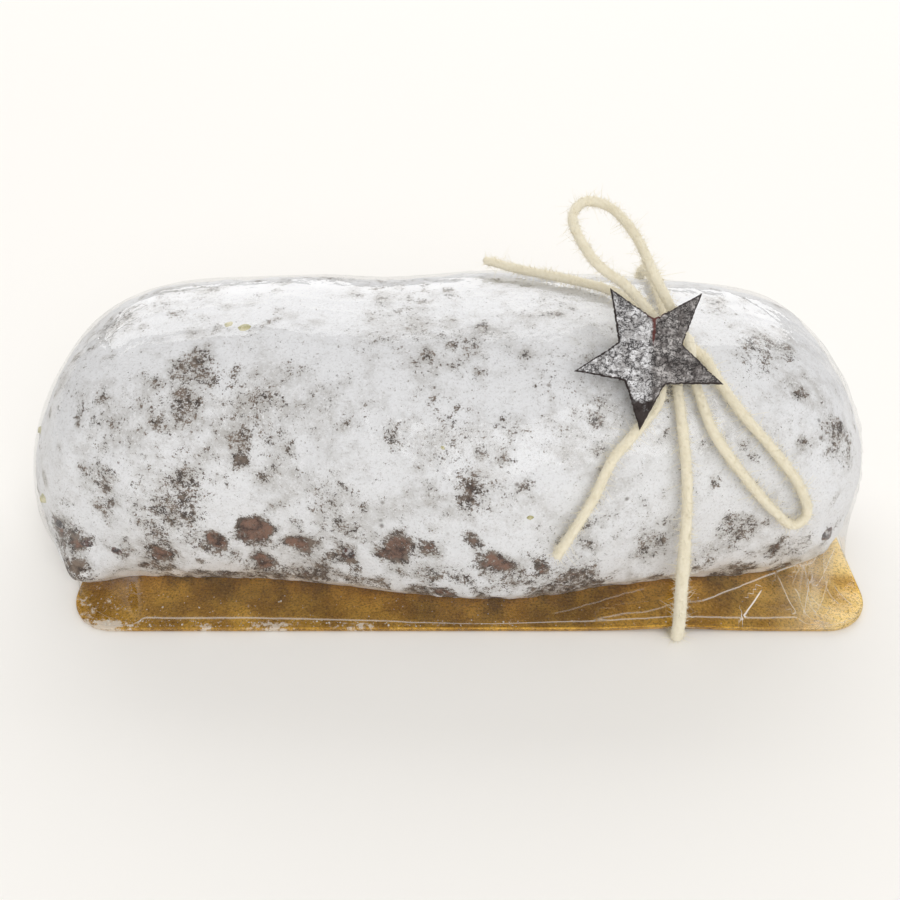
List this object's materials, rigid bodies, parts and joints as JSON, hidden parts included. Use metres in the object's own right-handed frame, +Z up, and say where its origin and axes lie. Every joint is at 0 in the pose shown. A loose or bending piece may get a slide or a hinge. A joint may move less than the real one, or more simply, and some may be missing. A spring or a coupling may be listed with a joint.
{
  "type": "stollen",
  "caption": "Sugar-dusted stollen loaf on a gold card, sealed in clear film and tied with a cream felt cord bow and a bark star.",
  "frame": {"origin": "on the table, under the middle of the loaf, card and star", "axes": "+X along the loaf, +Y to its back, +Z up; the side with the star and the lower tail faces -Y"},
  "size_m": [0.2808, 0.1292, 0.1094],
  "materials": {
    "sugar": "icing sugar over baked dough, with brown crust patches",
    "gold_card": "gold-foiled cake card with rounded corners",
    "bark": "birch bark, pale grey with dark flecks and brown edges",
    "felt": "soft cream wool felt cord, fuzzy",
    "film": "clear glossy film, drawn tight with small pleats",
    "crust": "bare brown crust, raisins and nuts"
  },
  "bodies": {
    "root": {"wrapped_loaf": "sugar", "gold_card": "gold_card", "bark_star": "bark", "cord_band": "felt", "cord_knot": "felt", "cord_loop_upper": "felt", "cord_loop_lower": "felt", "cord_tail_upper": "felt", "cord_tail_lower": "felt"}
  },
  "joints": []
}
